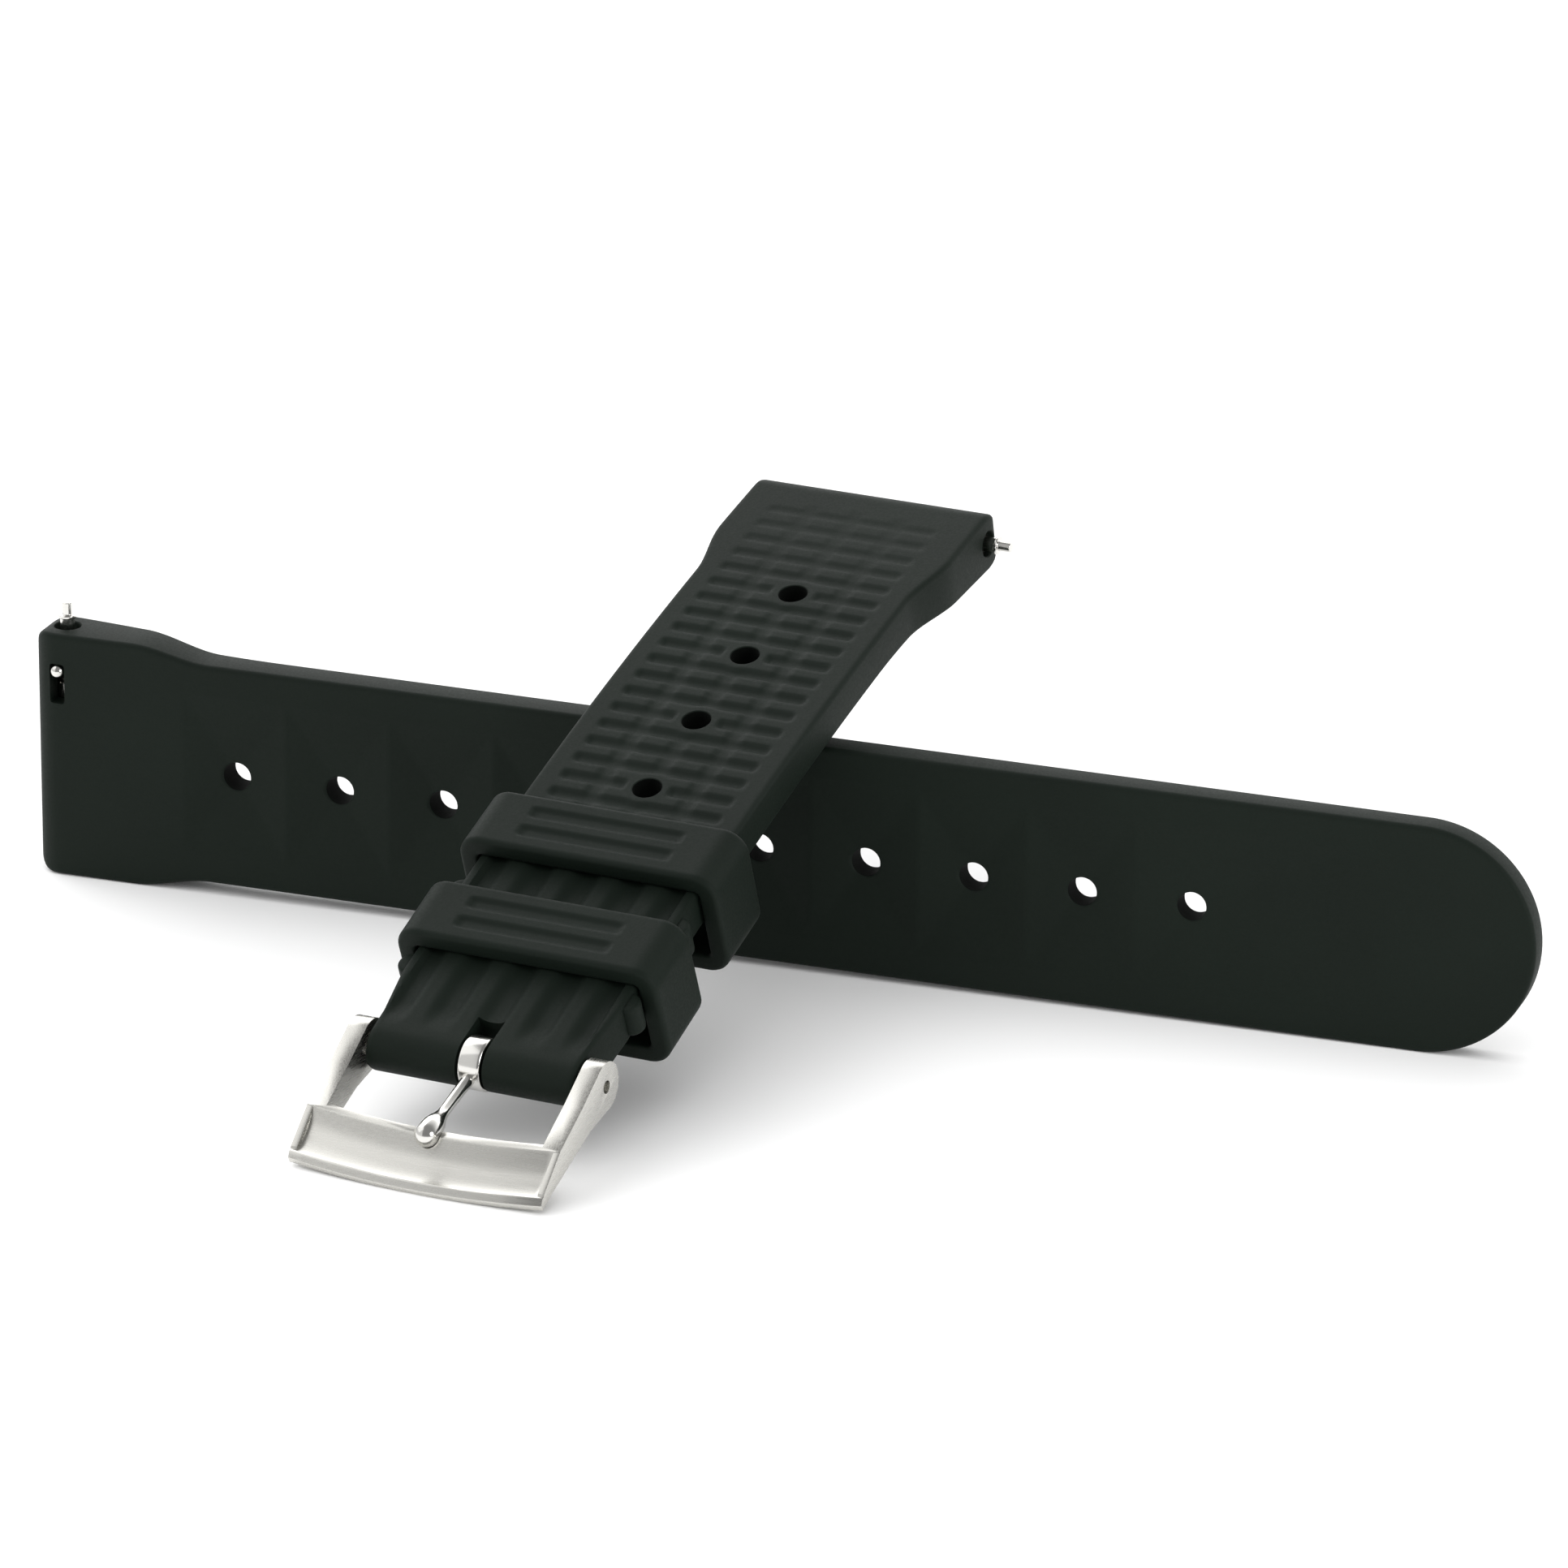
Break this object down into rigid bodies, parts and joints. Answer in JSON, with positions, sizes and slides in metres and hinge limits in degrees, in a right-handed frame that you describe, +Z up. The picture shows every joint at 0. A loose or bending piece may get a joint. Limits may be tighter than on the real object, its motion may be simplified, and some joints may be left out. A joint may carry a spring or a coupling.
{
  "type": "watch strap",
  "caption": "Two-piece rubber watch strap, halves crossed: holed tail with rounded tip, short half with pin buckle and keepers, quick-release spring bars at both lug ends",
  "frame": {"origin": "end of the long half's fixed spring-bar tip, on the surface that the strap lies on", "axes": "+X along the long half towards its rounded tip, +Y away from the buckle, +Z up; the long half stands on its edge"},
  "size_m": [0.1214, 0.0803, 0.0293],
  "materials": {
    "rubber": "matte, moulded",
    "steel": "brushed with polished edges"
  },
  "bodies": {
    "tail": {"tail_strap": "rubber"},
    "tail_bar": {"tail_bar_tube": "steel", "tail_bar_fixed_tip": "steel", "tail_bar_spring": "steel"},
    "tail_plunger": {"tail_bar_plunger": "steel", "tail_bar_lever": "steel"},
    "buckle_half": {"buckle_strap": "rubber", "fixed_keeper": "rubber", "buckle_bar_tube": "steel", "buckle_bar_spring": "steel"},
    "keeper": {"free_keeper": "rubber"},
    "head_bar": {"head_bar_tube": "steel", "head_bar_fixed_tip": "steel", "head_bar_spring": "steel"},
    "head_plunger": {"head_bar_plunger": "steel", "head_bar_lever": "steel"},
    "frame": {"buckle_frame": "steel"},
    "tongue": {"buckle_tongue": "steel"},
    "left_pin": {"buckle_bar_left_tip": "steel"},
    "right_pin": {"buckle_bar_right_tip": "steel"}
  },
  "joints": [
    {"name": "tail_bar_float", "type": "slide", "parent": "tail", "child": "tail_bar", "axis": [0.0096, 0, 1], "range_m": [-0.00094, 0]},
    {"name": "tail_lever_pull", "type": "slide", "parent": "tail_bar", "child": "tail_plunger", "axis": [0.0096, 0, 1], "range_m": [-0.00105, 0], "stiffness_N_per_m": 400, "deforming": ["tail_bar_spring"]},
    {"name": "halves_part", "type": "slide", "parent": "tail", "child": "buckle_half", "axis": [0, 0, 1], "range_m": [0, 0.04]},
    {"name": "keeper_slide", "type": "slide", "parent": "buckle_half", "child": "keeper", "axis": [-0.1065, -0.935, -0.3382], "range_m": [-0.012, 0.0021]},
    {"name": "head_bar_float", "type": "slide", "parent": "buckle_half", "child": "head_bar", "axis": [0.9936, -0.1132, 0], "range_m": [-0.00094, 0]},
    {"name": "head_lever_pull", "type": "slide", "parent": "head_bar", "child": "head_plunger", "axis": [0.9936, -0.1132, 0], "range_m": [-0.00105, 0], "stiffness_N_per_m": 400, "deforming": ["head_bar_spring"]},
    {"name": "frame_hinge", "type": "hinge", "parent": "buckle_half", "child": "frame", "pos_m": [0.05065, -0.04136, 0.00609], "axis": [-0.9936, 0.1132, 0], "range_deg": [-60, 40]},
    {"name": "tongue_hinge", "type": "hinge", "parent": "frame", "child": "tongue", "pos_m": [0.05065, -0.04136, 0.00609], "axis": [-0.9936, 0.1132, 0], "range_deg": [0, 85]},
    {"name": "left_pin_press", "type": "slide", "parent": "buckle_half", "child": "left_pin", "axis": [-0.9936, 0.1132, 0], "range_m": [-0.0012, 0], "stiffness_N_per_m": 400, "deforming": ["buckle_bar_spring"]},
    {"name": "right_pin_press", "type": "slide", "parent": "buckle_half", "child": "right_pin", "axis": [0.9936, -0.1132, 0], "range_m": [-0.0012, 0], "stiffness_N_per_m": 400, "deforming": ["buckle_bar_spring"]}
  ]
}
